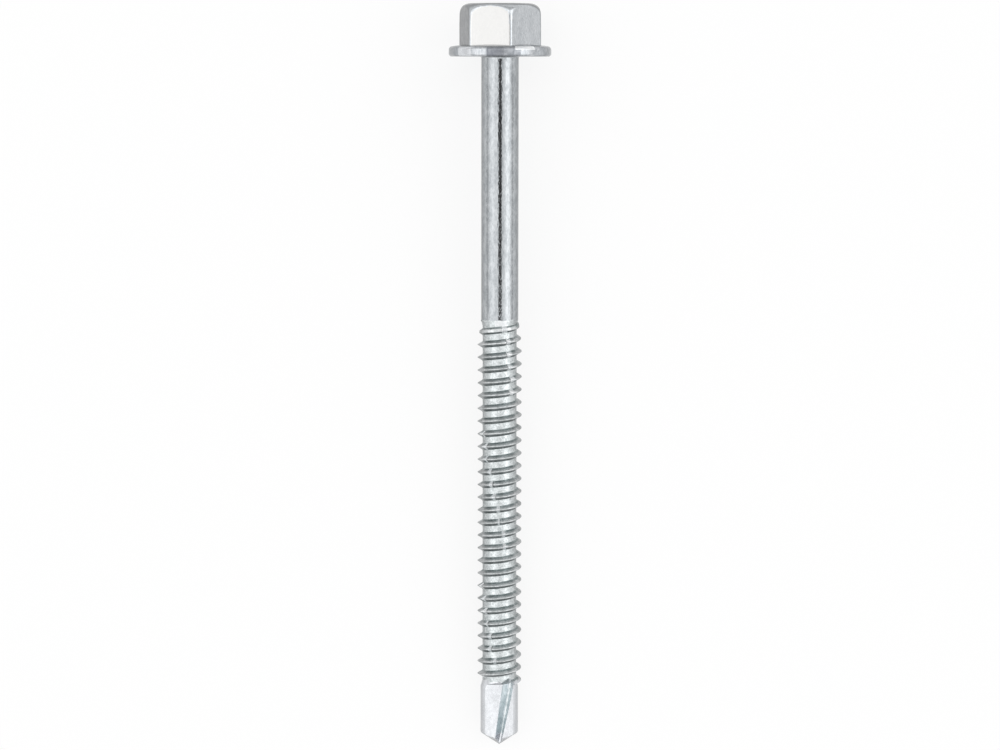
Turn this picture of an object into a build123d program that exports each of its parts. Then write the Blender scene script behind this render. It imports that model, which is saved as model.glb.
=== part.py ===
from build123d import *
import os
from math import acos, asin, atan2, ceil, cos, degrees, hypot, radians, sin, sqrt, tan

# A self drilling screw with a hexagon washer head and a 6.3 mm tapping thread: headed, rolled and pinched to
# its drill point from one piece of wire, so it is one solid.
# Sizes are in millimetres and degrees. The screw is modelled upright on its own axis, Z, with the bearing
# face of its flange at Z = 0 and its head above that. Depths are measured down the axis from the bearing
# face. The front of the upright screw faces -Y. Last, the screw is laid on its back.

# Hexagon head
ACROSS_FLATS = 10.0
HEAD_HEIGHT = 7.15  # bearing face to the flat of the crown
HEX_TURN = -15.4  # direction of one corner, from +X
HEX_EDGE_RADIUS = 0.55  # along the six upright edges
CROWN_RADIUS = 1.75  # the crown rolls over into the six faces
DISH_DIAMETER = 5.5
DISH_DEPTH = 0.45
DISH_WALL_ANGLE = 45.0
DISH_EDGE_RADIUS = 0.25

# Flange
FLANGE_DIAMETER = 13.9
FLANGE_THICKNESS = 1.6  # at the foot of the hexagon
FLANGE_DOME_RADIUS = 45.0  # of its upper side
RIM_TOP_RADIUS = 0.5
RIM_BOTTOM_RADIUS = 0.4
UNDER_HEAD_RADIUS = 0.2

# Shank and thread
LENGTH = 95.0  # bearing face to tip
SHANK_DIAMETER = 5.1
SHANK_LENGTH = 35.7
ROOT_DIAMETER = 4.65
CREST_DIAMETER = 6.05
PITCH = 1.76
CREST_WIDTH = 0.1
FLANK_ANGLE = 30.0  # of each flank, from square to the axis
RUN_IN_LENGTH = 3.3  # over which the ridge grows out of the shank
STEP_LENGTH = 0.95  # of the cones that lead from the root to the shank and to the drill body

# Drill point
BODY_DIAMETER = 5.2
BODY_LENGTH = 8.25  # to the tip
POINT_LENGTH = 8.9  # from the end of the thread to the tip
THREAD_END_TURN = -60.0  # direction in which the ridge ends, from +X: in the mouth of a flute
POINT_ANGLE = 111.0
SHOULDER_RADIUS = 0.35
FLATS_ACROSS = 3.6  # between the flats that the dies press, front and back
FLATS_CROWN_RADIUS = 30.0  # of each flat, which is a little round across
FLATS_LENGTH = 8.8  # to the tip, from the foot of their run-out
FLATS_RUN_OUT_ANGLE = 60.0  # from the axis, clear of the last crest
FLUTE_LENGTH = 8.8
FLUTE_RUN_OUT_LENGTH = 2.0  # above the flute, where the floor rises clear of the thread
FLUTE_FLOOR_WIDTH = 0.3
FLUTE_FLOOR_RADIUS = 0.12
# Each flute, at the tip and at its top: how far its floor is to the right of the axis and in front of it,
# and how far its walls lean from the front, the heel's to the left and the lip's to the right
FLUTE_AT_TIP = (0.0, 0.45, 22.0, 0.5)
FLUTE_AT_TOP = (1.5, 0.9, 44.0, 23.0)

SINK = 0.1  # how far a piece of the model reaches into the one that it joins
CLEAR = 0.5  # how far a cutting tool stands clear of what it cuts

corner_radius = ACROSS_FLATS / 2 / cos(radians(30))
flange_radius = FLANGE_DIAMETER / 2
shank_radius = SHANK_DIAMETER / 2
root_radius = ROOT_DIAMETER / 2
crest_radius = CREST_DIAMETER / 2
body_radius = BODY_DIAMETER / 2
thread_end_depth = LENGTH - POINT_LENGTH
body_top = BODY_LENGTH - LENGTH

# One turn of the thread's ridge, swept up a right-hand helix, with its foot sunk in the root
foot_radius = root_radius - SINK
ridge_height = crest_radius - foot_radius
foot_width = CREST_WIDTH + 2 * ridge_height * tan(radians(FLANK_ANGLE))
with BuildPart() as turn:
    with BuildLine() as turn_path:
        Helix(PITCH, PITCH, foot_radius)
    with BuildSketch(Plane.XZ):
        with Locations((foot_radius, 0)):
            Polygon(
                (0, -foot_width / 2),
                (ridge_height, -CREST_WIDTH / 2),
                (ridge_height, CREST_WIDTH / 2),
                (0, foot_width / 2),
                align=None,
            )
    sweep(path=turn_path.line, is_frenet=True)

# Threaded length: the turns end to end on their core, cut to a cone where they grow out of the shank
turns = ceil((thread_end_depth - SHANK_LENGTH + foot_width) / PITCH)
core_bottom = -thread_end_depth - foot_width
core_top = PITCH * turns - thread_end_depth + foot_width
cone_radius = crest_radius + CLEAR
cone_slope = (crest_radius - shank_radius) / RUN_IN_LENGTH
with BuildPart() as thread:
    with BuildSketch(Plane.XY.offset(core_bottom)):
        Circle(root_radius)
    extrude(amount=core_top - core_bottom)
    heights = [PITCH * number - thread_end_depth for number in range(turns)]
    with Locations([Location((0, 0, height), (0, 0, THREAD_END_TURN)) for height in heights]):
        add(turn.part)
    with BuildSketch(Plane.XZ):
        Polygon(
            (cone_radius, core_top),
            (shank_radius - (core_top + SHANK_LENGTH) * cone_slope, core_top),
            (cone_radius, -SHANK_LENGTH - (cone_radius - shank_radius) / cone_slope),
            align=None,
        )
    revolve(axis=Axis.Z, mode=Mode.SUBTRACT)

# Flange and shank, with a cone down to the root of the thread
dome_centre = FLANGE_THICKNESS - sqrt(FLANGE_DOME_RADIUS**2 - (ACROSS_FLATS / 2) ** 2)
rim_angle = degrees(acos(flange_radius / FLANGE_DOME_RADIUS))
rim_top = dome_centre + FLANGE_DOME_RADIUS * sin(radians(rim_angle))
with BuildPart() as shank:
    with BuildSketch(Plane.XZ):
        with BuildLine():
            CenterArc((0, dome_centre), FLANGE_DOME_RADIUS, rim_angle, 90 - rim_angle)
            Polyline(
                (0, dome_centre + FLANGE_DOME_RADIUS),
                (0, -SHANK_LENGTH - STEP_LENGTH),
                (foot_radius, -SHANK_LENGTH - STEP_LENGTH),
                (shank_radius, -SHANK_LENGTH),
                (shank_radius, 0),
                (flange_radius, 0),
                (flange_radius, rim_top),
            )
        make_face()
    revolve(axis=Axis.Z)
    for radius, height, rounding in (
        (flange_radius, rim_top, RIM_TOP_RADIUS),
        (flange_radius, 0, RIM_BOTTOM_RADIUS),
        (shank_radius, 0, UNDER_HEAD_RADIUS),
    ):
        rings = shank.edges().filter_by(GeomType.CIRCLE)
        fillet(rings.sort_by_distance((-radius, 0, height))[0], rounding)

# Drill body and point, with a cone up to the root of the thread
point_height = body_radius / tan(radians(POINT_ANGLE / 2))
with BuildPart() as drill:
    with BuildSketch(Plane.XZ):
        with BuildLine():
            FilletPolyline(
                (body_radius, body_top),
                (body_radius, point_height - LENGTH),
                (0, -LENGTH),
                radius=(SHOULDER_RADIUS,),
            )
            Polyline(
                (0, -LENGTH),
                (0, body_top + STEP_LENGTH),
                (foot_radius, body_top + STEP_LENGTH),
                (body_radius, body_top),
            )
        make_face()
    revolve(axis=Axis.Z)

# Head: a hexagonal prism, rolled over at the crown and dished
crown_flat_radius = corner_radius - CROWN_RADIUS
with BuildPart() as head:
    with BuildSketch():
        RegularPolygon(ACROSS_FLATS / 2, 6, major_radius=False, rotation=HEX_TURN)
    extrude(amount=HEAD_HEIGHT)
    fillet(head.edges().filter_by(Axis.Z), HEX_EDGE_RADIUS)
    with BuildSketch(Plane.XZ):
        with BuildLine():
            Polyline((crown_flat_radius, HEAD_HEIGHT), (0, HEAD_HEIGHT), (0, 0), (corner_radius, 0))
            Line((corner_radius, 0), (corner_radius, HEAD_HEIGHT - CROWN_RADIUS))
            CenterArc((crown_flat_radius, HEAD_HEIGHT - CROWN_RADIUS), CROWN_RADIUS, 0, 90)
        make_face()
    revolve(axis=Axis.Z, mode=Mode.INTERSECT)
    with BuildSketch(Plane.XY.offset(HEAD_HEIGHT)):
        Circle(DISH_DIAMETER / 2)
    extrude(amount=-DISH_DEPTH, taper=DISH_WALL_ANGLE, mode=Mode.SUBTRACT)
    rings = head.edges().filter_by(GeomType.CIRCLE)
    fillet(rings.filter_by(lambda ring: ring.radius <= DISH_DIAMETER / 2), DISH_EDGE_RADIUS)

# Flat: all that stands in front of a crowned face, up to a slanting run-out
tool_front = crest_radius + CLEAR
flat_front = FLATS_ACROSS / 2
flat_back = flat_front - SINK
flat_bottom = -LENGTH - CLEAR
run_out_bottom = FLATS_LENGTH - LENGTH
run_out_slope = 1 / tan(radians(FLATS_RUN_OUT_ANGLE))
with BuildPart() as flat:
    with BuildSketch(Plane.YZ):
        Polygon(
            (-flat_back, flat_bottom),
            (-tool_front, flat_bottom),
            (-tool_front, run_out_bottom + (tool_front - flat_front) * run_out_slope),
            (-flat_back, run_out_bottom - SINK * run_out_slope),
            align=None,
        )
    extrude(amount=tool_front, both=True)
    with BuildSketch(Plane.XY.offset(flat_bottom)):
        with Locations((0, FLATS_CROWN_RADIUS - flat_front)):
            Circle(FLATS_CROWN_RADIUS)
    extrude(amount=FLATS_LENGTH + LENGTH, mode=Mode.SUBTRACT)

# Flute: a slanting channel, deep and narrow at the tip and wide and shallow where it runs out
run_out_right, _, run_out_heel_lean, run_out_lip_lean = FLUTE_AT_TOP
flute_sections = (
    (-LENGTH, *FLUTE_AT_TIP),
    (FLUTE_LENGTH - LENGTH, *FLUTE_AT_TOP),
    (FLUTE_LENGTH + FLUTE_RUN_OUT_LENGTH - LENGTH, run_out_right, crest_radius, run_out_heel_lean, run_out_lip_lean),
)
with BuildPart() as flute:
    for height, right, front, heel_lean, lip_lean in flute_sections:
        heel = right - FLUTE_FLOOR_WIDTH / 2
        lip = right + FLUTE_FLOOR_WIDTH / 2
        reach = tool_front - front
        with BuildSketch(Plane.XY.offset(height)) as section:
            Polygon(
                (heel, -front),
                (heel - reach * tan(radians(heel_lean)), -tool_front),
                (lip + reach * tan(radians(lip_lean)), -tool_front),
                (lip, -front),
                align=None,
            )
            fillet(section.vertices().sort_by(Axis.Y)[-2:], FLUTE_FLOOR_RADIUS)
    loft(ruled=True)

# The upright screw
with BuildPart() as upright:
    add(thread.part)
    add(shank.part)
    add(drill.part)
    add(head.part)
    with PolarLocations(0, 2):
        add(flat.part, mode=Mode.SUBTRACT)
        add(flute.part, mode=Mode.SUBTRACT)

# At rest the screw lies on two points of its back: the rim of the flange, on its lower rounding, and the
# last full crest that faces down. The front of the upright screw faces up.
BACK = 90.0  # direction of the back of the upright screw, from +X
turns_to_back = (BACK - THREAD_END_TURN) % 360 / 360
crest_depth = thread_end_depth - PITCH * turns_to_back
fall = flange_radius - RIM_BOTTOM_RADIUS - crest_radius
run = crest_depth + RIM_BOTTOM_RADIUS
rest_tilt = degrees(atan2(fall, run) + asin(RIM_BOTTOM_RADIUS / hypot(fall, run)))
laid = upright.part.rotate(Axis.X, rest_tilt - 90)
box = laid.bounding_box()
with BuildPart() as screw:
    with Locations((-box.center().X, -box.center().Y, -box.min.Z)):
        add(laid)

screw.part.label = "screw"
os.makedirs("parts", exist_ok=True)
export_step(screw.part, "parts/screw.step")
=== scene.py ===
"""A zinc-plated self drilling screw with a hexagon washer head, lying on a pale floor.

The screw is modelled upright in millimetres: its axis is Z, the bearing face of its flange is at Z = 0, its
head is above that and its front faces -Y. It is then laid down in the row frame, in metres, with its front
up. A depth is measured from the bearing face towards the tip, and a turn in degrees from the front towards
+X.
"""

import logging
from dataclasses import dataclass, field
from enum import Enum
from math import atan2, cos, degrees, floor, hypot, pi, radians, sin, sqrt, tan, tau

import bmesh
import bpy
from bmesh.types import BMEdge, BMesh, BMVert
from mathutils import Matrix, Vector


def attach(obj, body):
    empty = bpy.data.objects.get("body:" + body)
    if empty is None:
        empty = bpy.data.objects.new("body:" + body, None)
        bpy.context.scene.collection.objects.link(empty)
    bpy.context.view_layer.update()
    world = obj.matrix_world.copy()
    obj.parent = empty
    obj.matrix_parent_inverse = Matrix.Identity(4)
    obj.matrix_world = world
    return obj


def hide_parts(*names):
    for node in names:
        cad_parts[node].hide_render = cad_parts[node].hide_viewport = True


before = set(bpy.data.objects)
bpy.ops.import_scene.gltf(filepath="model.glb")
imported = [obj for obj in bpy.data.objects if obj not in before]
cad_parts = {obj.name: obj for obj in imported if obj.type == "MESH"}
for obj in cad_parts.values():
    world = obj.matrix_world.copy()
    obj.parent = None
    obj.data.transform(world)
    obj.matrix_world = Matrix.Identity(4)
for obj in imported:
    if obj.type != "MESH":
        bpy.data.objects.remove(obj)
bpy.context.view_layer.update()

log = logging.getLogger("screw")

MM = 0.001
REST_TILT = 2.6205  # how far the lying axis falls towards the tip, in degrees
UNTILT = (-radians(REST_TILT), 0.0, 0.0)
BEARING_CENTRE = Vector((0.0, 43.786, 6.927))  # where the middle of the bearing face lies
HALF_SECTOR = radians(30)  # half of one side of the hexagon, seen from the axis
CLOSE = 1e-4  # how near to each other points are that become one
AXIS = (0, 0, 1)
ORIGIN = (0, 0, 0)

Span = tuple[float, float]
Outline = list[tuple[float, float]]
Colour = tuple[float, float, float]
Socket = bpy.types.NodeSocket


class Zone(Enum):
    """The parts of the screw, and the painted highlights, reflections and shade on it, that have a finish of
    their own, in the order of its material slots.
    """

    HEAD = 0
    FACE = 1  # the hexagon's front face, a brighter and more even copy of the head's finish: painted highlight
    FLANGE = 2
    SHANK = 3
    ROOT = 4
    FOOT = 5  # the lower part of the thread's flanks, darker and speckled in the creases at their feet: painted shade
    CREST = 6
    # the drill point's finish, also used for a painted highlight on the rim
    POINT = 7
    FLUTE = 8
    PATCH = 9  # a painted dark reflection on the front of the rim
    NICK = 10  # bright metal where the crest is torn, and painted highlights on the flange, the run-in ledge and the drill point
    FADE = 11  # where the painted dark reflection on the rim fades


class Join(Enum):
    """How one closed mesh changes another."""

    ADD = "UNION"
    CUT = "DIFFERENCE"


# --------------------------------------------------------------------------------------------------
# Places and outlines


def from_front(place: Vector) -> float:
    """Gives the turn of a place round the axis, in degrees from the front towards +X."""
    return degrees(atan2(place.x, -place.y))


def within(value: float, span: Span) -> bool:
    """Tells whether a value lies inside a span."""
    return span[0] < value < span[1]


def soft_least(one: float, other: float, reach: float) -> float:
    """Gives the smaller of two values, rounded where they are within reach of each other."""
    close = max(reach - abs(one - other), 0.0) / reach
    return min(one, other) - close * close * reach / 4


def ramp(value: float, span: Span) -> float:
    """Gives how far a value is along a span, from 0 to 1, with soft ends."""
    low, high = span
    share = min(max((value - low) / (high - low), 0.0), 1.0)
    return share * share * (3 - 2 * share)


def rounded_outline(corners: list[tuple[float, float, float]], steps: int = 5) -> Outline:
    """Rounds the corners of an outline.

    Args:
        corners: The radius, height and rounding of each corner, in order.
        steps: How many edges a rounding has.

    Returns:
        The radius and height of each point.
    """
    points: Outline = []
    for number, (radius, height, rounding) in enumerate(corners):
        here = Vector((radius, height))
        if rounding == 0.0:
            points.append((radius, height))
            continue
        before = (Vector(corners[number - 1][:2]) - here).normalized()
        after = (Vector(corners[number + 1][:2]) - here).normalized()
        half = before.angle(after) / 2
        centre = here + (before + after).normalized() * rounding / sin(half)
        start = here + before * rounding / tan(half) - centre
        end = here + after * rounding / tan(half) - centre
        turn = start.angle_signed(end)
        for step in range(steps + 1):
            arm = start.copy()
            arm.rotate(Matrix.Rotation(-turn * step / steps, 2))
            points.append(tuple(centre + arm))
    return points


# --------------------------------------------------------------------------------------------------
# Meshes


def stroke(mesh: BMesh, outline: Outline, direction: float) -> list[BMVert | BMEdge]:
    """Draws an outline as a line of edges in a half plane through the axis.

    Args:
        mesh: The mesh to draw in.
        outline: The radius and height of each point.
        direction: The direction of the half plane, in radians from +X.

    Returns:
        The new vertices and edges.
    """
    across = Vector((cos(direction), sin(direction), 0.0))
    verts = [mesh.verts.new(across * radius + Vector((0.0, 0.0, height))) for radius, height in outline]
    edges = [mesh.edges.new(pair) for pair in zip(verts, verts[1:])]
    return [*verts, *edges]


def turned(outline: Outline, steps: int, weld: float = CLOSE / 10) -> BMesh:
    """Turns an outline all the way round the axis.

    Args:
        outline: The radius and height of each point.
        steps: How many edges a ring has.
        weld: How close the points are that become one.

    Returns:
        A new mesh, with its poles closed.
    """
    mesh = bmesh.new()
    line = stroke(mesh, outline, 0.0)
    bmesh.ops.spin(mesh, geom=line, angle=tau, steps=steps, axis=AXIS, cent=ORIGIN, use_merge=True)
    bmesh.ops.remove_doubles(mesh, verts=mesh.verts, dist=weld)
    bmesh.ops.recalc_face_normals(mesh, faces=mesh.faces)
    return mesh


def follow(mesh: BMesh, ring: list[BMEdge], outline: Outline) -> None:
    """Extrudes a round ring of edges along an outline, and closes it where the outline ends on the axis.

    Args:
        mesh: The mesh that the ring is in.
        ring: The edges of the ring.
        outline: The radius and height of each point after the ring.
    """
    for radius, height in outline:
        grown = bmesh.ops.extrude_edge_only(mesh, edges=ring)["geom"]
        ring = [item for item in grown if isinstance(item, BMEdge)]
        verts = [item for item in grown if isinstance(item, BMVert)]
        if radius == 0.0:
            bmesh.ops.pointmerge(mesh, verts=verts, merge_co=(0.0, 0.0, height))
            return
        for vert in verts:
            share = radius / hypot(vert.co.x, vert.co.y)
            vert.co = (vert.co.x * share, vert.co.y * share, height)


def ring_at(mesh: BMesh, height: float) -> list[BMEdge]:
    """Finds the open edges of a mesh at one height."""
    return [e for e in mesh.edges if e.is_boundary and all(abs(v.co.z - height) < CLOSE for v in e.verts)]


def tube(loops: list[list[Vector]]) -> BMesh:
    """Joins loops of points, one above the other, into a closed mesh."""
    mesh = bmesh.new()
    rings = []
    for loop in loops:
        verts = [mesh.verts.new(place) for place in loop]
        rings.append([mesh.edges.new(pair) for pair in zip(verts, [*verts[1:], verts[0]])])
    for lower, upper in zip(rings, rings[1:]):
        bmesh.ops.bridge_loops(mesh, edges=[*lower, *upper])
    for ring in (rings[0], rings[-1]):
        bmesh.ops.contextual_create(mesh, geom=ring)
    bmesh.ops.recalc_face_normals(mesh, faces=mesh.faces)
    return mesh


def combined(base: BMesh, tool: BMesh, join: Join) -> BMesh:
    """Joins or cuts one closed mesh with another.

    Args:
        base: The mesh to change, which is freed.
        tool: The mesh to change it with, which is freed.
        join: How the tool changes the base.

    Returns:
        A new mesh.
    """
    objects = []
    for part in (base, tool):
        data = bpy.data.meshes.new("part")
        part.to_mesh(data)
        part.free()
        objects.append(bpy.data.objects.new("part", data))
        bpy.context.scene.collection.objects.link(objects[-1])
    modifier = objects[0].modifiers.new("combine", "BOOLEAN")
    modifier.object = objects[1]
    modifier.operation = join.value
    modifier.solver = "EXACT"
    result = bmesh.new()
    result.from_mesh(objects[0].evaluated_get(bpy.context.evaluated_depsgraph_get()).to_mesh())
    for item in objects:
        bpy.data.meshes.remove(item.data)
    return result


# --------------------------------------------------------------------------------------------------
# The screw


@dataclass
class HexHead:
    """The hexagon of the head, with its rolled crown and its dish."""

    across_flats: float = 10.0
    height: float = 7.15
    turn: float = -15.4
    edge_softness: float = 0.24
    crown_radius: float = 1.75
    crown_softness: float = 0.22
    crown_steps: int = 16
    side_drops: tuple[float, ...] = (0.2, 0.5, 1.0, 1.8, 2.8)
    side_flare: float = 0.12
    foot: float = 1.3
    foot_flare: float = 0.5
    dish_diameter: float = 5.5
    dish_depth: float = 0.45
    dish_edge_radius: float = 0.25
    lowest_seen: float = 1.45
    lit_face_closeness: float = 0.996
    steps: int = 240

    def corner_radius(self) -> float:
        """Gives the radius over the hexagon's sharp corners."""
        return self.across_flats / 2 / cos(HALF_SECTOR)

    def flat_radius(self, direction: float) -> float:
        """Gives the radius of the hexagon in a direction in radians from +X, with rounded upright edges."""
        sector = 2 * HALF_SECTOR
        first = radians(self.turn) + HALF_SECTOR
        offset = (direction - first + HALF_SECTOR) % sector - HALF_SECTOR
        near, beside = cos(offset), cos(sector - abs(offset))
        return soft_least(self.across_flats / 2 / near, self.across_flats / 2 / beside, self.edge_softness)

    def outline(self) -> Outline:
        """Gives the turned outline of the crown, which is wider than the hexagon further down."""
        corner, dish, crown = self.corner_radius(), self.dish_diameter / 2, self.crown_radius
        flat = corner - crown
        dish_floor = self.height - self.dish_depth
        top = rounded_outline(
            [
                (0.0, dish_floor, 0.0),
                (dish - self.dish_depth, dish_floor, self.dish_edge_radius),
                (dish, self.height, self.dish_edge_radius),
                (flat, self.height, 0.0),
            ]
        )
        side_top = self.height - crown
        leans = [pi / 2 * step / self.crown_steps for step in range(1, self.crown_steps + 1)]
        arc = [(flat + crown * sin(lean), side_top + crown * cos(lean)) for lean in leans]
        side = [(corner + self.side_flare * drop * drop, side_top - drop) for drop in self.side_drops]
        return [*top, *arc, *side, (side[-1][0] + self.foot_flare, self.foot), (0.0, self.foot)]

    def build(self) -> BMesh:
        """Builds the hexagon down to its foot inside the flange."""
        mesh = turned(self.outline(), self.steps)
        for vert in mesh.verts:
            radius = hypot(vert.co.x, vert.co.y)
            if radius > self.dish_diameter / 2:
                flat = self.flat_radius(atan2(vert.co.y, vert.co.x))
                share = soft_least(flat, radius, self.crown_softness) / radius
                vert.co.x *= share
                vert.co.y *= share
        return mesh

    def holds(self, centre: Vector) -> bool:
        """Tells whether a face belongs to the hexagon."""
        return hypot(centre.x, centre.y) < self.corner_radius() and centre.z > self.lowest_seen

    def zone(self, normal: Vector) -> Zone:
        """Tells which finish a face of the hexagon has."""
        front = radians(self.turn - 90.0)
        facing = normal.dot(Vector((cos(front), sin(front), 0.0)))
        # The face turned to the front gets a brighter, more even finish: painted highlight.
        return Zone.FACE if facing > self.lit_face_closeness else Zone.HEAD


@dataclass
class Flange:
    """The washer under the hexagon, with a domed upper side and light and dark patches on its rim: painted
    highlights and a painted dark reflection.
    """

    diameter: float = 13.898
    thickness: float = 1.6
    dome_radius: float = 45.0
    dome_foot: float = 5.0
    dome_rings: tuple[float, ...] = (1.0, 0.85, 0.7, 0.5, 0.3)
    rim_top_radius: float = 0.5
    rim_bottom_radius: float = 0.4
    under_head_radius: float = 0.2
    outline_start: float = -1.0
    rim: Span = (0.1, 1.3)
    # Turns on the rim with a painted highlight, a painted dark reflection and its fade, and turns and a
    # height for a painted highlight wedge on the upper side.
    highlight_patch: Span = (-55.0, -33.0)
    dark_reflection_patch: Span = (-14.0, 3.0)
    fading_reflection_patch: Span = (3.0, 22.0)
    highlight_wedge: Span = (17.0, 42.0)
    highlight_wedge_foot: float = 0.9

    def outline(self, shank_radius: float) -> Outline:
        """Gives the outline from the shank, just below its fillet, round the flange to the axis."""
        radius = self.diameter / 2
        centre = self.thickness - sqrt(self.dome_radius**2 - self.dome_foot**2)
        rings = [radius * share for share in self.dome_rings]
        dome = [(ring, centre + sqrt(self.dome_radius**2 - ring**2)) for ring in rings]
        return rounded_outline(
            [
                (shank_radius, self.outline_start, 0.0),
                (shank_radius, 0.0, self.under_head_radius),
                (radius, 0.0, self.rim_bottom_radius),
                (*dome[0], self.rim_top_radius),
                *((*point, 0.0) for point in dome[1:]),
                (0.0, centre + self.dome_radius, 0.0),
            ]
        )

    def zone(self, centre: Vector) -> Zone:
        """Tells which finish a face of the flange has."""
        turn = from_front(centre)
        # A painted highlight wedge on the upper side; painted highlight and dark reflection patches on the
        # rim.
        if centre.z > self.highlight_wedge_foot and within(turn, self.highlight_wedge):
            return Zone.NICK
        if not within(centre.z, self.rim):
            return Zone.FLANGE
        patches = {Zone.POINT: self.highlight_patch, Zone.PATCH: self.dark_reflection_patch, Zone.FADE: self.fading_reflection_patch}
        return next((zone for zone, patch in patches.items() if within(turn, patch)), Zone.FLANGE)


@dataclass(frozen=True)
class Seam:
    """A row of nicks in the crest, one on each turn, where the rolling has torn it."""

    top: float
    bottom: float
    start: float
    drift: float
    width: float
    depth: float
    wobble: float = 4.0
    wobble_start: float = 5.0
    wobble_rate: float = 9.0

    def nick(self, turns: float, turn: float) -> float:
        """Tells how deep the seam cuts a ridge.

        Args:
            turns: How many turns the ridge is above the lower end of the thread.
            turn: The turn from the front, in degrees.

        Returns:
            The share of the ridge's height that is missing.
        """
        if not self.bottom <= turns <= self.top:
            return 0.0
        wobble = self.wobble * sin(self.top * self.wobble_start + turns * self.wobble_rate)
        middle = self.start + (self.top - turns) * self.drift + wobble
        aside = (turn - middle + 180.0) % 360.0 - 180.0
        return self.depth * max(1.0 - abs(aside) / self.width, 0.0)


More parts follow.
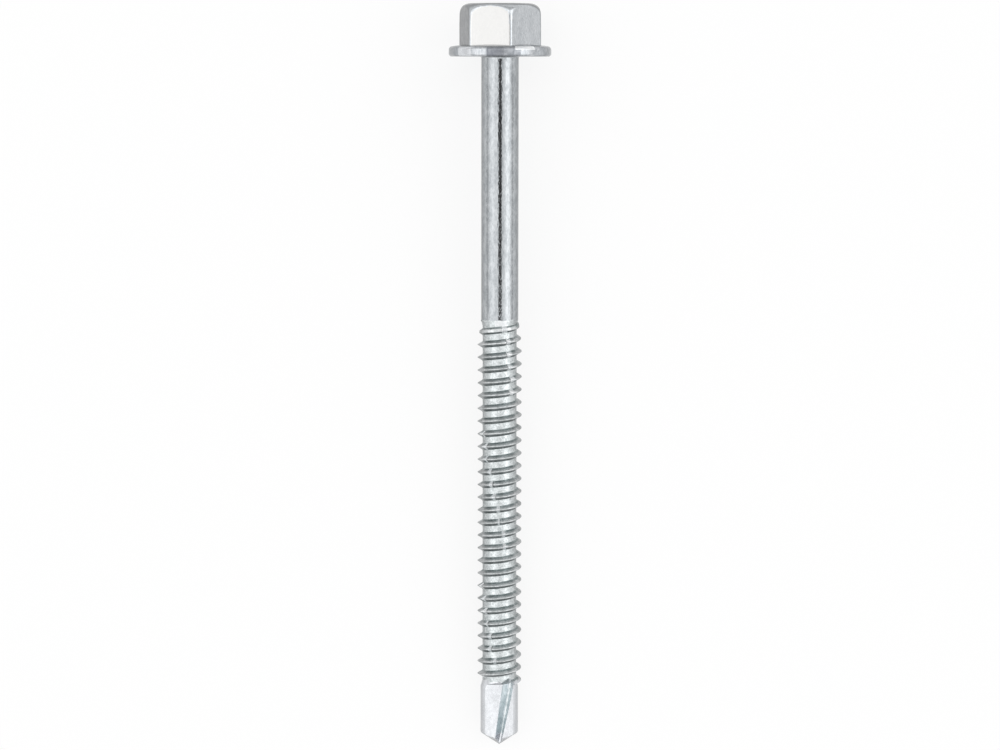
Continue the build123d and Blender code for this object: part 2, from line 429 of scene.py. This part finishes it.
@dataclass
class Shank:
    """The plain part of the shank, the thread, and the cones between them and the drill point."""

    diameter: float = 5.1
    length: float = 35.7
    rings: tuple[float, ...] = (28.0, 20.0, 12.0, 6.0, 2.0, 0.6, 0.3)
    root_diameter: float = 4.65
    crest_diameter: float = 6.05
    crest_width: float = 0.1
    crest_leans: tuple[float, ...] = (0, 30, 60)
    flank_angle: float = 30.0
    flank_drops: tuple[float, ...] = (0.22, 0.4)
    foot_radius: float = 0.2
    foot_steps: int = 2
    pitch: float = 1.76
    run_in: float = 3.3
    step: float = 0.95
    end_depth: float = 86.1
    end_turn: float = -60.0
    blunt_end: Span = (-0.005, 0.03)
    body_diameter: float = 5.2
    body_depth: float = 86.75
    top_depth: float = 35.0
    bottom_depth: float = 87.5
    steps: int = 112
    spare_turns: int = 2
    weld: float = 0.001
    seams: tuple[Seam, ...] = (
        Seam(top=28.6, bottom=22.6, start=17.0, drift=4.5, width=10.0, depth=0.85),
        Seam(top=20.4, bottom=10.4, start=-62.0, drift=8.5, width=8.0, depth=0.6),
        Seam(top=8.4, bottom=1.4, start=-66.0, drift=7.5, width=8.0, depth=0.6),
    )
    # Turns where the run-in ledge gets a painted highlight, and rises over the core for the root, the feet
    # with painted shade, the crest and the torn nicks.
    highlight_ledge: Span = (-15.0, 24.0)
    root_rise: float = 0.03
    shaded_foot_rise: float = 0.33
    nick_rise: float = 0.1
    nick_share: float = 0.25

    def ridge(self) -> Outline:
        """Gives one pitch of the thread from root to root, with a round crest and filleted feet."""
        lean = tan(radians(self.flank_angle))
        crest, root = self.crest_diameter / 2, self.root_diameter / 2
        crest_radius = self.crest_width / 2 / lean
        foot = self.crest_width / 2 + (crest - root) * lean
        leans = [radians(angle) for angle in self.crest_leans]
        half = [(crest_radius * sin(angle), crest - crest_radius * (1 - cos(angle))) for angle in leans]
        half += [(self.crest_width / 2 + drop * lean, crest - drop) for drop in self.flank_drops]
        corners = [(*half[-1], 0.0), (foot, root, self.foot_radius), (self.pitch / 2, root, 0.0)]
        half += rounded_outline(corners, self.foot_steps)[1:]
        upper = [(radius, height) for height, radius in half]
        lower = [(radius, -height) for radius, height in reversed(upper[1:])]
        return [*lower, *upper]

    def core_radius(self, depth: float) -> float:
        """Gives the radius without the ridge at a depth."""
        shank, root, body = self.diameter / 2, self.root_diameter / 2, self.body_diameter / 2
        from_shank = shank + (root - shank) * min(max((depth - self.length) / self.step, 0.0), 1.0)
        from_body = root + (body - root) * min(max((depth - self.body_depth) / self.step + 1, 0.0), 1.0)
        return from_shank if depth < self.body_depth - self.step else from_body

    def ridge_limit(self, depth: float) -> float:
        """Gives how far out the ridge may stand at a depth while it grows out of the shank."""
        shank, crest = self.diameter / 2, self.crest_diameter / 2
        return shank + (crest - shank) * (depth - self.length) / self.run_in

    def turns_from_end(self, place: Vector) -> float:
        """Gives how many turns the ridge nearest to a place is above the lower end of the thread."""
        turn = (atan2(place.y, place.x) - radians(self.end_turn)) / tau % 1.0
        return turn + floor((place.z + self.end_depth) / self.pitch - turn + 0.5)

    def missing(self, place: Vector) -> float:
        """Gives the share of the ridge's height that the seams take away at a place."""
        turns, turn = self.turns_from_end(place), from_front(place)
        return max(seam.nick(turns, turn) for seam in self.seams)

    def shaped(self, place: Vector) -> Vector:
        """Moves a point of the endless thread to the real one, with its run-in, blunt end and core."""
        radius, depth, root = hypot(place.x, place.y), -place.z, self.root_diameter / 2
        left = ramp(self.turns_from_end(place), self.blunt_end) * (1.0 - self.missing(place))
        ridge = root + (radius - root) * left
        target = max(self.core_radius(depth), min(ridge, self.ridge_limit(depth)))
        return Vector((place.x * target / radius, place.y * target / radius, place.z))

    def build(self) -> BMesh:
        """Builds the thread between two flat rings, one above it and one below it."""
        mesh = bmesh.new()
        base = -self.end_depth - self.spare_turns * self.pitch
        outline = [(radius, base + height) for radius, height in self.ridge()]
        line = stroke(mesh, outline, radians(self.end_turn))
        lift = Vector((0.0, 0.0, self.pitch / self.steps))
        bmesh.ops.spin(mesh, geom=line, angle=tau, steps=self.steps, dvec=lift, axis=AXIS, cent=ORIGIN)
        turn = [*mesh.verts, *mesh.edges, *mesh.faces]
        copies = floor((self.bottom_depth - self.top_depth) / self.pitch) + self.spare_turns + 1
        for number in range(1, copies + 1):
            copy = bmesh.ops.duplicate(mesh, geom=turn)["geom"]
            verts = [item for item in copy if isinstance(item, BMVert)]
            bmesh.ops.translate(mesh, verts=verts, vec=(0.0, 0.0, number * self.pitch))
        bmesh.ops.remove_doubles(mesh, verts=mesh.verts, dist=self.weld)
        for depth, outwards in ((self.top_depth, 1), (self.bottom_depth, -1)):
            bmesh.ops.bisect_plane(
                mesh,
                geom=[*mesh.verts, *mesh.edges, *mesh.faces],
                plane_co=(0, 0, -depth),
                plane_no=(0, 0, outwards),
                clear_outer=True,
            )
        for vert in mesh.verts:
            vert.co = self.shaped(vert.co)
        return mesh

    def zone(self, centre: Vector) -> Zone:
        """Tells which finish a face of the thread has."""
        rise = hypot(centre.x, centre.y) - self.core_radius(-centre.z)
        if rise < self.root_rise:
            # The ledge at the run-in, turned to the front, gets a painted highlight.
            on_highlight_ledge = within(from_front(centre), self.highlight_ledge) and -centre.z < self.length + self.step
            return Zone.NICK if on_highlight_ledge else Zone.ROOT
        # Torn crests get bright metal, which is partly painted highlight.
        if rise > self.nick_rise and self.missing(centre) > self.nick_share:
            return Zone.NICK
        # The lower flanks get painted shade.
        return Zone.FOOT if rise < self.shaded_foot_rise else Zone.CREST


@dataclass
class DrillPoint:
    """The pinched drill point, with its two flats and its two flutes."""

    length: float = 94.9995
    body_diameter: float = 5.2
    body_start: float = 85.7
    point_angle: float = 111.0
    shoulder_radius: float = 0.35
    above_shoulder: float = 2.0
    flats_across: float = 3.6
    flats_crown: float = 30.0
    flats_length: float = 8.8
    flats_run_out: float = 60.0
    flats_reach: float = 3.0
    flats_steps: int = 12
    flute_length: float = 8.8
    flute_steps: int = 16
    run_out: float = 2.0
    run_out_front: float = 3.025
    floor_width: float = 0.3
    floor_radius: float = 0.12
    floor_steps: int = 3
    at_tip: tuple[float, float, float, float] = (0.0, 0.45, 22.0, 0.5)  # right, depth, heel, lip
    at_top: tuple[float, float, float, float] = (1.5, 0.9, 44.0, 23.0)
    front: float = 3.525
    clear: float = 0.3
    # Faces beyond this depth that lean towards the tip this much get a painted highlight.
    highlight_slope_start: float = 84.0
    highlight_slope_normal: Span = (-0.79, -0.67)
    channel: Span = (86.2, 93.4)
    channel_front: float = 1.7
    channel_radius: float = 2.4

    def outline(self) -> Outline:
        """Gives the outline from the drill body to the tip."""
        radius = self.body_diameter / 2
        shoulder = radius / tan(radians(self.point_angle / 2)) - self.length
        corners = [
            (radius, shoulder + self.above_shoulder, 0.0),
            (radius, shoulder, self.shoulder_radius),
            (0.0, -self.length, 0.0),
        ]
        return rounded_outline(corners)

    def flat(self) -> BMesh:
        """Builds the tool that cuts the front flat, up to its slanting run-out."""
        middle, reach = self.flats_across / 2, self.flats_reach
        across = [reach * (2 * step / self.flats_steps - 1) for step in range(self.flats_steps + 1)]
        loop = [(x, middle - self.flats_crown + sqrt(self.flats_crown**2 - x * x)) for x in across]
        loop += [(reach, self.front), (-reach, self.front)]
        slope = 1 / tan(radians(self.flats_run_out))
        top = self.flats_length - self.length
        lower = [Vector((x, -front, -self.length - self.clear)) for x, front in loop]
        upper = [Vector((x, -front, top + (front - middle) * slope)) for x, front in loop]
        return tube([lower, upper])

    def flute_section(
        self, height: float, right: float, depth: float, heel: float, lip: float
    ) -> list[Vector]:
        """Gives a cross section of the tool that cuts the front flute.

        Args:
            height: The height of the section.
            right: How far the middle of its floor is to the right of the axis.
            depth: How far its floor is in front of the axis.
            heel: How far its left wall leans out, in degrees.
            lip: How far its right wall leans out, in degrees.

        Returns:
            The points of the section.
        """
        left_foot, right_foot = right - self.floor_width / 2, right + self.floor_width / 2
        reach = self.front - depth
        corners = [
            (left_foot - reach * tan(radians(heel)), -self.front, 0.0),
            (left_foot, -depth, self.floor_radius),
            (right_foot, -depth, self.floor_radius),
            (right_foot + reach * tan(radians(lip)), -self.front, 0.0),
        ]
        return [Vector((x, y, height)) for x, y in rounded_outline(corners, self.floor_steps)]

    def flute(self) -> BMesh:
        """Builds the tool that cuts the front flute, from past the tip to its slanting run-out."""
        right, _, heel, lip = self.at_top
        top_height = self.flute_length - self.length
        tip = self.flute_section(-self.length, *self.at_tip)
        top = self.flute_section(top_height, *self.at_top)
        end = self.flute_section(top_height + self.run_out, right, self.run_out_front, heel, lip)
        shares = [step / self.flute_steps for step in range(self.flute_steps + 1)]
        shares.insert(0, -self.clear / self.flute_length)
        return tube([*([low.lerp(high, share) for low, high in zip(tip, top)] for share in shares), end])

    def zone(self, centre: Vector, normal: Vector) -> Zone | None:
        """Tells which finish a face of the drill point has.

        Args:
            centre: The middle of the face.
            normal: Its direction.

        Returns:
            The zone, or None for a face of the thread.
        """
        depth, radius = -centre.z, hypot(centre.x, centre.y)
        # Faces that lean towards the tip get a painted highlight.
        if depth > self.highlight_slope_start and within(normal.z, self.highlight_slope_normal):
            return Zone.NICK
        inside = abs(centre.y) < self.channel_front and radius < self.channel_radius
        if inside and within(depth, self.channel):
            return Zone.FLUTE
        return None if depth < self.body_start else Zone.POINT


@dataclass
class Screw:
    """The whole screw, one welded piece."""

    head: HexHead = field(default_factory=HexHead)
    flange: Flange = field(default_factory=Flange)
    shank: Shank = field(default_factory=Shank)
    point: DrillPoint = field(default_factory=DrillPoint)
    under_flange: float = 0.05
    sharp_angle: float = 28.0

    def zone(self, centre: Vector, normal: Vector) -> Zone:
        """Tells which finish a face of the upright screw has, from its middle and its direction."""
        depth = -centre.z
        if depth < self.under_flange:
            return self.head.zone(normal) if self.head.holds(centre) else self.flange.zone(centre)
        if depth < self.shank.length:
            return Zone.SHANK
        return self.point.zone(centre, normal) or self.shank.zone(centre)

    def shape(self) -> BMesh:
        """Builds the upright screw as one closed mesh."""
        rod = self.shank.build()
        radius = self.shank.diameter / 2
        upward = [(radius, -depth) for depth in self.shank.rings]
        follow(rod, ring_at(rod, -self.shank.top_depth), [*upward, *self.flange.outline(radius)[1:]])
        follow(rod, ring_at(rod, -self.shank.bottom_depth), self.point.outline())
        bmesh.ops.recalc_face_normals(rod, faces=rod.faces)
        for turn in (0.0, pi):
            for tool in (self.point.flat(), self.point.flute()):
                bmesh.ops.rotate(tool, verts=tool.verts, cent=ORIGIN, matrix=Matrix.Rotation(turn, 3, "Z"))
                rod = combined(rod, tool, Join.CUT)
        whole = combined(rod, self.head.build(), Join.ADD)
        bmesh.ops.remove_doubles(whole, verts=whole.verts, dist=CLOSE)
        return whole

    def build(self) -> bpy.types.Object:
        """Builds the screw, gives each face its material slot and lays the screw down."""
        whole = self.shape()
        for face in whole.faces:
            face.material_index = self.zone(face.calc_center_median(), face.normal).value
            face.smooth = True
        lying = Matrix.Translation(BEARING_CENTRE) @ Matrix.Rotation(radians(REST_TILT - 90.0), 4, "X")
        bmesh.ops.transform(whole, matrix=Matrix.Scale(MM, 4) @ lying, verts=whole.verts)
        data = bpy.data.meshes.new("screw_steel")
        whole.to_mesh(data)
        open_edges = sum(1 for edge in whole.edges if not edge.is_manifold)
        log.info("screw: %d faces, %d edges that aren't closed", len(whole.faces), open_edges)
        whole.free()
        data.set_sharp_from_angle(angle=radians(self.sharp_angle))
        piece = bpy.data.objects.new("screw_steel", data)
        bpy.context.scene.collection.objects.link(piece)
        return piece


# --------------------------------------------------------------------------------------------------
# Finishes


class Graph:
    """A node tree with short calls to add nodes and join them."""

    def __init__(self, tree: bpy.types.NodeTree) -> None:
        """Keeps the tree."""
        self.tree = tree

    def node(self, kind: str, settings: dict[str, object] | None = None, **inputs: object) -> bpy.types.Node:
        """Adds a node.

        Args:
            kind: The node's type, without ShaderNode.
            settings: Values for the node's own properties.
            inputs: Values or sockets for its inputs, by name with spaces as underscores or as _ and a number.

        Returns:
            The new node.
        """
        made = self.tree.nodes.new("ShaderNode" + kind)
        for name, value in (settings or {}).items():
            setattr(made, name, value)
        for name, value in inputs.items():
            socket = made.inputs[int(name[1:])] if name[1:].isdigit() else made.inputs[name.replace("_", " ")]
            if isinstance(value, Socket):
                self.tree.links.new(value, socket)
            else:
                socket.default_value = value
        return made

    def maths(self, operation: str, *values: object, clamp: bool = False) -> Socket:
        """Adds a Math node.

        Args:
            operation: What the node does.
            values: The values or sockets for its inputs, in order.
            clamp: Whether the result stays from 0 to 1.

        Returns:
            The socket of the result.
        """
        inputs = {f"_{number}": value for number, value in enumerate(values)}
        return self.node("Math", {"operation": operation, "use_clamp": clamp}, **inputs).outputs[0]

    def soft_range(self, value: Socket, span: Span, to: Span = (0.0, 1.0)) -> Socket:
        """Adds a Map Range node with soft ends.

        Args:
            value: The socket with the value.
            span: The values at which the result starts and ends to change.
            to: The result there.

        Returns:
            The socket of the result.
        """
        soft = {"interpolation_type": "SMOOTHSTEP"}
        ends = {"From_Min": span[0], "From_Max": span[1], "To_Min": to[0], "To_Max": to[1]}
        return self.node("MapRange", soft, Value=value, **ends).outputs[0]

    def mixed(self, share: Socket, first: object, second: object) -> Socket:
        """Adds a Mix node for colours.

        Args:
            share: The socket with the share of the second colour.
            first: The colour or socket where the share is 0.
            second: The colour or socket where it is 1.

        Returns:
            The socket of the result.
        """
        return self.node("Mix", {"data_type": "RGBA"}, _0=share, _6=first, _7=second).outputs[2]


def mottle_group() -> bpy.types.NodeTree:
    """Builds the group for zinc's cloudy mottle, which gives a mask from 0 to 1 and a height."""
    tree = bpy.data.node_groups.new("mottle", "ShaderNodeTree")
    tree.interface.new_socket("Vector", in_out="INPUT", socket_type="NodeSocketVector")
    for name in ("Cloud Scale", "Grain Scale", "Contrast"):
        tree.interface.new_socket(name, in_out="INPUT", socket_type="NodeSocketFloat")
    for name in ("Mask", "Height"):
        tree.interface.new_socket(name, in_out="OUTPUT", socket_type="NodeSocketFloat")
    graph = Graph(tree)
    given = tree.nodes.new("NodeGroupInput").outputs
    alike = {"Vector": given["Vector"], "Roughness": 0.6}
    cloud = graph.node("TexNoise", Scale=given["Cloud Scale"], Detail=4.0, **alike)
    grain = graph.node("TexNoise", Scale=given["Grain Scale"], Detail=2.0, **alike)
    both = graph.maths("ADD", cloud.outputs["Fac"], grain.outputs["Fac"])
    centred = graph.maths("SUBTRACT", both, 1.0)
    mask = graph.maths("MULTIPLY_ADD", centred, given["Contrast"], 0.5, clamp=True)
    put = tree.nodes.new("NodeGroupOutput").inputs
    tree.links.new(mask, put["Mask"])
    tree.links.new(both, put["Height"])
    return tree


@dataclass(frozen=True)
class Zinc:
    """A zinc-plated finish, mottled from dark to light, that darkens where the surface turns away from the
    view: painted shade.
    """

    name: str
    dark: Colour
    light: Colour
    smooth: float
    rough: float
    cloud_scale: float = 900.0
    grain_scale: float = 4200.0
    contrast: float = 2.2
    stretch: float = 0.5
    bump: float = 0.35
    bump_height: float = 0.04 * MM
    # Painted shade: how much the colour darkens towards the edges as seen, and at which facing.
    edge: float = 0.5
    painted_shade_facing: Span = (0.12, 0.72)

    def material(self, mottle: bpy.types.NodeTree) -> bpy.types.Material:
        """Builds the material.

        Args:
            mottle: The shared node group for the mottle.

        Returns:
            The material.
        """
        made = bpy.data.materials.new(self.name)
        made.use_nodes = True
        graph = Graph(made.node_tree)
        place = graph.node("TexCoord").outputs["Object"]
        along = graph.node("Mapping", Vector=place, Rotation=UNTILT, Scale=(1, self.stretch, 1))
        cloudy = graph.node(
            "Group",
            {"node_tree": mottle},
            Vector=along.outputs[0],
            Cloud_Scale=self.cloud_scale,
            Grain_Scale=self.grain_scale,
            Contrast=self.contrast,
        ).outputs
        tone = graph.mixed(cloudy["Mask"], (*self.dark, 1), (*self.light, 1))
        # Painted shade: the colour darkens as the surface turns away from the view.
        facing = graph.node("LayerWeight", Blend=0.5).outputs["Facing"]
        shade = graph.soft_range(facing, self.painted_shade_facing, (1.0, 1 - self.edge))
        shaded = graph.node("VectorMath", {"operation": "SCALE"}, _0=tone, Scale=shade)
        gloss = graph.node("MapRange", Value=cloudy["Mask"], To_Min=self.rough, To_Max=self.smooth)
        bump = graph.node("Bump", Height=cloudy["Height"], Strength=self.bump, Distance=self.bump_height)
        shader = made.node_tree.nodes["Principled BSDF"].inputs
        shader["Metallic"].default_value = 1.0
        for made_by, name in ((shaded, "Base Color"), (gloss, "Roughness"), (bump, "Normal")):
            made.node_tree.links.new(made_by.outputs[0], shader[name])
        return made


# --------------------------------------------------------------------------------------------------
# The studio


def grey(tone: float) -> tuple[float, float, float, float]:
    """Gives an opaque grey."""
    return tone, tone, tone, 1.0


@dataclass
class Studio:
    """The floor, the surroundings with their soft panels, and the camera."""

    camera_distance: float = 388.9
    target_depth: float = 43.37
    sideways: float = 0.05
    roll: float = 0.07
    focal_pixels: float = 2855.0
    picture_pixels: float = 1000.0
    sensor: float = 36.0
    clip: Span = (0.01, 20.0)
    sky: tuple[Span, ...] = (  # how far to the side, and the tone there
        (-1.0, 0.42),
        (-0.9, 0.76),
        (-0.7, 0.92),
        (-0.45, 0.73),
        (-0.2, 0.8),
        (0.0, 0.84),
        (0.3, 0.62),
        (0.5, 0.75),
        (0.7, 1.04),
        (0.82, 1.02),
        (0.93, 0.78),
        (1.0, 0.42),
    )
    sky_strength: float = 1.5
    ends_tone: float = 0.36
    ends_from: Span = (0.4, 0.85)
    gap_tone: float = 0.03
    gap_middle: float = 0.025
    gap_width: Span = (0.12, 0.25)
    gap_length: Span = (0.1, 0.16)
    floor_size: float = 3.0
    floor_tone: float = 1.0
    floor_roughness: float = 0.9
    glow: float = 0.8

    def axis(self) -> Vector:
        """Gives the direction of the screw's axis towards the head."""
        return Vector((0.0, cos(radians(REST_TILT)), sin(radians(REST_TILT))))

    def front(self) -> Vector:
        """Gives the direction that the screw's front faces."""
        return Vector((0.0, -sin(radians(REST_TILT)), cos(radians(REST_TILT))))

    def floor_material(self) -> bpy.types.Material:
        """Builds the pale floor's material, which glows a little where it is seen, so that it stays white."""
        made = bpy.data.materials.new("floor_paper")
        made.use_nodes = True
        shader = made.node_tree.nodes["Principled BSDF"]
        shader.inputs["Base Color"].default_value = grey(self.floor_tone)
        shader.inputs["Roughness"].default_value = self.floor_roughness
        shader.inputs["Specular IOR Level"].default_value = 0.0
        graph = Graph(made.node_tree)
        rays = graph.node("LightPath").outputs
        seen = graph.maths("MAXIMUM", rays["Is Camera Ray"], rays["Is Glossy Ray"])
        seen = graph.maths("MAXIMUM", seen, rays["Is Transmission Ray"])
        white = graph.node("Emission", Strength=1.0)
        share = graph.maths("MULTIPLY", seen, self.glow)
        both = graph.node("MixShader", _0=share, _1=shader.outputs[0], _2=white.outputs[0])
        made.node_tree.links.new(both.outputs[0], made.node_tree.nodes["Material Output"].inputs["Surface"])
        return made

    def build_floor(self) -> None:
        """Lays the pale floor."""
        mesh = bmesh.new()
        bmesh.ops.create_grid(mesh, x_segments=1, y_segments=1, size=self.floor_size)
        data = bpy.data.meshes.new("floor")
        mesh.to_mesh(data)
        mesh.free()
        data.materials.append(self.floor_material())
        floor_piece = bpy.data.objects.new("floor", data)
        bpy.context.scene.collection.objects.link(floor_piece)

    def panels(self, graph: Graph, sideways: Socket) -> Socket:
        """Adds the soft panels of the sky.

        Args:
            graph: The world's nodes.
            sideways: How far a direction points to the side, from -1 to 1.

        Returns:
            The socket with the tone.
        """
        bands = graph.node("ValToRGB", Fac=graph.maths("MULTIPLY_ADD", sideways, 0.5, 0.5))
        stops = bands.color_ramp.elements
        for _ in self.sky[2:]:
            stops.new(0.5)
        for stop, (where, tone) in zip(stops, self.sky):
            stop.position, stop.color = 0.5 + where / 2, grey(tone)
        return bands.outputs["Color"]

    def build_world(self) -> None:
        """Makes the surroundings: soft panels to both sides, dimmer ends and a dark gap at the camera."""
        world = bpy.data.worlds.new("studio")
        world.use_nodes = True
        bpy.context.scene.world = world
        graph = Graph(world.node_tree)
        direction = graph.node("TexCoord").outputs["Generated"]
        laid = graph.node("Mapping", Vector=direction, Rotation=UNTILT)
        parts = graph.node("SeparateXYZ", Vector=laid.outputs[0]).outputs
        across = graph.node("CombineXYZ", X=parts["X"], Z=parts["Z"])
        length = graph.node("VectorMath", {"operation": "LENGTH"}, _0=across.outputs[0]).outputs["Value"]
        sideways = graph.maths("DIVIDE", parts["X"], length)
        endwards = graph.maths("ABSOLUTE", parts["Y"])
        aside = graph.maths("ABSOLUTE", graph.maths("SUBTRACT", sideways, self.gap_middle))
        past_side = graph.soft_range(aside, self.gap_width)
        past_gap = graph.maths("MAXIMUM", past_side, graph.soft_range(endwards, self.gap_length))
        lit = graph.mixed(past_gap, grey(self.gap_tone), self.panels(graph, sideways))
        tone = graph.mixed(graph.soft_range(endwards, self.ends_from), lit, grey(self.ends_tone))
        back = world.node_tree.nodes["Background"].inputs
        world.node_tree.links.new(tone, back["Color"])
        back["Strength"].default_value = self.sky_strength

    def build_camera(self) -> None:
        """Places the camera square to the screw's front."""
        data = bpy.data.cameras.new("camera")
        data.sensor_width = self.sensor
        data.lens = self.sensor * self.focal_pixels / self.picture_pixels
        data.clip_start, data.clip_end = self.clip
        aside = Vector((self.sideways, 0.0, 0.0))
        place = BEARING_CENTRE + self.front() * self.camera_distance + aside
        target = BEARING_CENTRE - self.axis() * self.target_depth + aside
        back = (place - target).normalized()
        across = self.axis().cross(back).normalized()
        view = Matrix((across, back.cross(across), back)).transposed().to_4x4()
        roll = Matrix.Rotation(radians(self.roll), 4, "Z")
        camera = bpy.data.objects.new("camera", data)
        camera.matrix_world = Matrix.Translation(place * MM) @ view @ roll
        bpy.context.scene.collection.objects.link(camera)
        bpy.context.scene.camera = camera

    def build(self) -> None:
        """Builds the studio."""
        self.build_floor()
        self.build_world()
        self.build_camera()
        bpy.context.scene.view_settings.view_transform = "Standard"


# --------------------------------------------------------------------------------------------------
# The finish of each zone


FINISHES = {
    # The head darkens strongly towards its edges: painted shade on the hexagon's side faces.
    Zone.HEAD: Zinc(
        "zinc_head",
        dark=(0.65, 0.68, 0.71),
        light=(0.84, 0.87, 0.9),
        smooth=0.16,
        rough=0.26,
        bump=0.22,
        edge=0.75,
    ),
    # A brighter, more even copy of the head's finish for the front face: painted highlight.
    Zone.FACE: Zinc(
        "zinc_lit_face",
        dark=(0.765, 0.762, 0.752),
        light=(0.795, 0.791, 0.781),
        smooth=0.14,
        rough=0.18,
        bump=0.04,
    ),
    Zone.FLANGE: Zinc(
        "zinc_flange",
        dark=(0.5, 0.53, 0.56),
        light=(0.72, 0.74, 0.77),
        smooth=0.16,
        rough=0.26,
        bump=0.2,
    ),
    Zone.SHANK: Zinc(
        "zinc_shank",
        dark=(0.43, 0.455, 0.475),
        light=(0.61, 0.635, 0.655),
        smooth=0.07,
        rough=0.15,
        grain_scale=3000.0,
        bump=0.55,
    ),
    Zone.ROOT: Zinc(
        "zinc_root",
        dark=(0.56, 0.6, 0.605),
        light=(0.86, 0.9, 0.91),
        smooth=0.3,
        rough=0.42,
        cloud_scale=2200.0,
        grain_scale=5000.0,
        contrast=2.6,
        stretch=1.0,
        bump=0.5,
    ),
    # Darker and speckled, for the creases at the thread's feet: painted shade.
    Zone.FOOT: Zinc(
        "zinc_shaded_foot",
        dark=(0.34, 0.4, 0.405),
        light=(0.66, 0.71, 0.715),
        smooth=0.3,
        rough=0.45,
        contrast=3.6,
        stretch=1.0,
    ),
    Zone.CREST: Zinc(
        "zinc_crest",
        dark=(0.6, 0.63, 0.635),
        light=(0.88, 0.9, 0.91),
        smooth=0.3,
        rough=0.45,
        contrast=3.0,
        stretch=1.0,
    ),
    # The drill point's finish, also used on the rim as a painted highlight.
    Zone.POINT: Zinc(
        "zinc_point_and_rim_highlight",
        dark=(0.78, 0.8, 0.83),
        light=(0.87, 0.89, 0.92),
        smooth=0.2,
        rough=0.3,
        bump=0.12,
        edge=0.42,
    ),
    Zone.FLUTE: Zinc(
        "zinc_flute",
        dark=(0.64, 0.71, 0.73),
        light=(0.88, 0.92, 0.94),
        smooth=0.3,
        rough=0.45,
        contrast=3.5,
        edge=0.1,
    ),
    # A painted dark reflection on the front of the rim.
    Zone.PATCH: Zinc(
        "zinc_dark_reflection",
        dark=(0.27, 0.285, 0.32),
        light=(0.36, 0.375, 0.405),
        smooth=0.34,
        rough=0.46,
        bump=0.2,
    ),
    # Bright metal for torn crests, and painted highlights on the flange, the run-in ledge and the drill
    # point.
    Zone.NICK: Zinc(
        "zinc_nick_and_highlight",
        dark=(0.84, 0.87, 0.89),
        light=(0.96, 0.97, 0.98),
        smooth=0.35,
        rough=0.5,
        bump=0.1,
        edge=0.0,
    ),
    # Where the painted dark reflection on the rim fades.
    Zone.FADE: Zinc(
        "zinc_dark_reflection_fade",
        dark=(0.3, 0.32, 0.345),
        light=(0.48, 0.5, 0.53),
        smooth=0.3,
        rough=0.42,
        bump=0.2,
    ),
}


def main() -> None:
    """Builds the screw and the studio."""
    logging.basicConfig(level=logging.INFO, format="%(name)s: %(message)s")
    piece = Screw().build()
    mottle = mottle_group()
    for zone in Zone:
        piece.data.materials.append(FINISHES[zone].material(mottle))
    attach(piece, "root")
    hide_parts("screw")
    log.info("piece %s built", piece.name)
    Studio().build()


if __name__ == "__main__":
    main()
